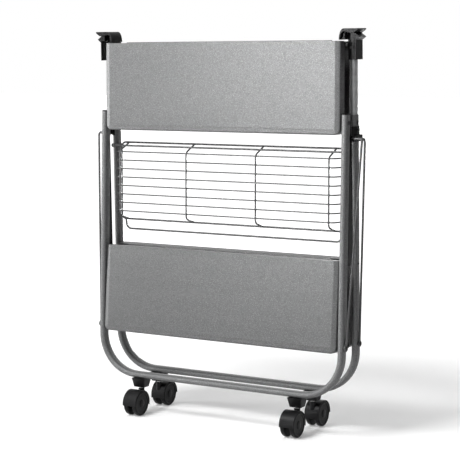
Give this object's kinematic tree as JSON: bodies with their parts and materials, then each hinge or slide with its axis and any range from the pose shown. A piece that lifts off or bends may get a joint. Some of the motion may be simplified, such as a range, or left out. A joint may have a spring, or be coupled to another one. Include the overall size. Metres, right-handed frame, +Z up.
{
  "type": "folding trolley",
  "caption": "Folding trolley of two U-shaped tube frames joined by hinged shelves that break in the middle, with a wire basket, raised end caps and twin-wheel castors, shown folded.",
  "frame": {"origin": "on the floor, midway between the folded frames and midway along the shelves", "axes": "+X along the shelves to the right, +Y from the front frame to the rear frame, +Z up"},
  "size_m": [0.6094, 0.1634, 0.7861],
  "materials": {
    "hammered_paint": "hammered silver-grey paint",
    "extension_paint": "smooth silver-grey paint",
    "black_plastic": "moulded, fine texture",
    "wheel": "moulded, satin",
    "plated_steel": "bright plated",
    "dark_steel": "blackened steel",
    "wire": "dark grey coated wire"
  },
  "bodies": {
    "rear_frame": {"rear_frame_tube": "hammered_paint", "left_extension_tube": "extension_paint", "left_top_cap": "black_plastic", "left_cap_screw": "dark_steel", "left_clip": "black_plastic", "right_extension_tube": "extension_paint", "right_top_cap": "black_plastic", "right_cap_screw": "dark_steel", "right_clip": "black_plastic", "rear_left_stay": "wire", "rear_left_socket": "black_plastic", "rear_left_stem": "plated_steel", "rear_right_stay": "wire", "rear_right_socket": "black_plastic", "rear_right_stem": "plated_steel", "upper_rear_left_rivet": "dark_steel", "upper_rear_right_rivet": "dark_steel", "lower_rear_left_rivet": "dark_steel", "lower_rear_right_rivet": "dark_steel"},
    "front_frame": {"front_frame_tube": "hammered_paint", "front_left_leg_plug": "black_plastic", "front_left_socket": "black_plastic", "front_left_stem": "plated_steel", "front_right_leg_plug": "black_plastic", "front_right_socket": "black_plastic", "front_right_stem": "plated_steel", "upper_front_left_rivet": "dark_steel", "upper_front_right_rivet": "dark_steel", "lower_front_left_rivet": "dark_steel", "lower_front_right_rivet": "dark_steel"},
    "upper_rear_half": {"upper_rear_panel": "hammered_paint", "upper_hinge_rear_leaf": "hammered_paint", "upper_hinge_pin": "plated_steel"},
    "upper_front_half": {"upper_front_panel": "hammered_paint", "upper_hinge_front_leaf": "hammered_paint"},
    "lower_rear_half": {"lower_rear_panel": "hammered_paint", "lower_hinge_rear_leaf": "hammered_paint", "lower_hinge_pin": "plated_steel"},
    "lower_front_half": {"lower_front_panel": "hammered_paint", "lower_hinge_front_leaf": "hammered_paint"},
    "basket": {"basket": "wire"},
    "front_left_stay": {"front_left_stay": "wire"},
    "front_right_stay": {"front_right_stay": "wire"},
    "front_left_castor": {"front_left_hood": "black_plastic", "front_left_axle": "plated_steel"},
    "front_left_left_wheel": {"front_left_left_wheel": "wheel"},
    "front_left_right_wheel": {"front_left_right_wheel": "wheel"},
    "front_right_castor": {"front_right_hood": "black_plastic", "front_right_axle": "plated_steel"},
    "front_right_left_wheel": {"front_right_left_wheel": "wheel"},
    "front_right_right_wheel": {"front_right_right_wheel": "wheel"},
    "rear_left_castor": {"rear_left_hood": "black_plastic", "rear_left_axle": "plated_steel"},
    "rear_left_left_wheel": {"rear_left_left_wheel": "wheel"},
    "rear_left_right_wheel": {"rear_left_right_wheel": "wheel"},
    "rear_right_castor": {"rear_right_hood": "black_plastic", "rear_right_axle": "plated_steel"},
    "rear_right_left_wheel": {"rear_right_left_wheel": "wheel"},
    "rear_right_right_wheel": {"rear_right_right_wheel": "wheel"}
  },
  "joints": [
    {"name": "fold", "type": "hinge", "parent": "rear_frame", "child": "upper_rear_half", "pos_m": [0, 0.0193, 0.607], "axis": [1, 0, 0], "range_deg": [0, 90]},
    {"name": "upper_middle_hinge", "type": "hinge", "parent": "upper_rear_half", "child": "upper_front_half", "pos_m": [0, 0, 0.762], "axis": [1, 0, 0], "range_deg": [-180, 0]},
    {"name": "upper_front_pivot", "type": "hinge", "parent": "upper_front_half", "child": "front_frame", "pos_m": [0, -0.0193, 0.607], "axis": [1, 0, 0], "range_deg": [0, 90]},
    {"name": "lower_rear_pivot", "type": "hinge", "parent": "rear_frame", "child": "lower_rear_half", "pos_m": [0, 0.03089, 0.1785], "axis": [1, 0, 0], "range_deg": [0, 86]},
    {"name": "lower_middle_hinge", "type": "hinge", "parent": "lower_rear_half", "child": "lower_front_half", "pos_m": [0, 0, 0.34334], "axis": [1, 0, 0], "range_deg": [-172.01, 0]},
    {"name": "basket_swing", "type": "hinge", "parent": "rear_frame", "child": "basket", "pos_m": [0, -0.005, 0.5505], "axis": [1, 0, 0], "range_deg": [0, 80]},
    {"name": "left_stay_swing", "type": "hinge", "parent": "front_frame", "child": "front_left_stay", "pos_m": [0, -0.03089, 0.1785], "axis": [1, 0, 0], "range_deg": [0, 12]},
    {"name": "right_stay_swing", "type": "hinge", "parent": "front_frame", "child": "front_right_stay", "pos_m": [0, -0.03089, 0.1785], "axis": [1, 0, 0], "range_deg": [0, 12]},
    {"name": "front_left_swivel", "type": "hinge", "parent": "front_frame", "child": "front_left_castor", "pos_m": [-0.181, -0.03356, 0.05], "axis": [0, 0, 1], "continuous": true},
    {"name": "front_left_left_roll", "type": "hinge", "parent": "front_left_castor", "child": "front_left_left_wheel", "pos_m": [-0.181, -0.05356, 0.025], "axis": [1, 0, 0], "continuous": true},
    {"name": "front_left_right_roll", "type": "hinge", "parent": "front_left_castor", "child": "front_left_right_wheel", "pos_m": [-0.181, -0.05356, 0.025], "axis": [1, 0, 0], "continuous": true},
    {"name": "front_right_swivel", "type": "hinge", "parent": "front_frame", "child": "front_right_castor", "pos_m": [0.181, -0.03356, 0.05], "axis": [0, 0, 1], "continuous": true},
    {"name": "front_right_left_roll", "type": "hinge", "parent": "front_right_castor", "child": "front_right_left_wheel", "pos_m": [0.181, -0.05356, 0.025], "axis": [1, 0, 0], "continuous": true},
    {"name": "front_right_right_roll", "type": "hinge", "parent": "front_right_castor", "child": "front_right_right_wheel", "pos_m": [0.181, -0.05356, 0.025], "axis": [1, 0, 0], "continuous": true},
    {"name": "rear_left_swivel", "type": "hinge", "parent": "rear_frame", "child": "rear_left_castor", "pos_m": [-0.181, 0.03356, 0.05], "axis": [0, 0, 1], "continuous": true},
    {"name": "rear_left_left_roll", "type": "hinge", "parent": "rear_left_castor", "child": "rear_left_left_wheel", "pos_m": [-0.181, 0.05356, 0.025], "axis": [1, 0, 0], "continuous": true},
    {"name": "rear_left_right_roll", "type": "hinge", "parent": "rear_left_castor", "child": "rear_left_right_wheel", "pos_m": [-0.181, 0.05356, 0.025], "axis": [1, 0, 0], "continuous": true},
    {"name": "rear_right_swivel", "type": "hinge", "parent": "rear_frame", "child": "rear_right_castor", "pos_m": [0.181, 0.03356, 0.05], "axis": [0, 0, 1], "continuous": true},
    {"name": "rear_right_left_roll", "type": "hinge", "parent": "rear_right_castor", "child": "rear_right_left_wheel", "pos_m": [0.181, 0.05356, 0.025], "axis": [1, 0, 0], "continuous": true},
    {"name": "rear_right_right_roll", "type": "hinge", "parent": "rear_right_castor", "child": "rear_right_right_wheel", "pos_m": [0.181, 0.05356, 0.025], "axis": [1, 0, 0], "continuous": true}
  ],
  "couplings": [
    {"joint": "upper_middle_hinge", "follows": "fold", "ratio": -2},
    {"joint": "upper_front_pivot", "follows": "fold", "ratio": 1},
    {"joint": "lower_rear_pivot", "follows": "fold", "ratio": 0.95547},
    {"joint": "lower_middle_hinge", "follows": "fold", "ratio": -1.9109}
  ]
}
